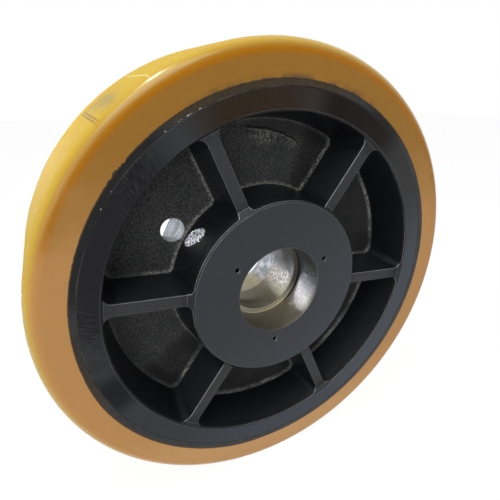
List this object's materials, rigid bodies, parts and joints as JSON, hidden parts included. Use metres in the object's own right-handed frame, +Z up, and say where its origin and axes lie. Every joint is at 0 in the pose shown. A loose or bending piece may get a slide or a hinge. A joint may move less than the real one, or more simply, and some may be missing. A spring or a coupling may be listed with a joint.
{
  "type": "polyurethane wheel",
  "caption": "Large industrial load wheel: ribbed black cast-iron centre with stepped bearing bore, pressed-on steel band and smooth amber polyurethane tyre.",
  "frame": {"origin": "centre of the wheel, on the axle line at mid-width", "axes": "+Y along the axle that the wheel turns about, front face towards -Y, +Z up"},
  "size_m": [0.5, 0.1294, 0.5],
  "materials": {
    "black_cast_iron": "black painted sand casting with turned faces and a bare machined bore",
    "black_band_steel": "black painted turned steel edge",
    "amber_polyurethane": "smooth cast amber polyurethane, slightly see-through at the shoulder"
  },
  "bodies": {
    "root": {"cast_wheel_centre": "black_cast_iron", "steel_tyre_band": "black_band_steel", "polyurethane_tyre": "amber_polyurethane"}
  },
  "joints": []
}
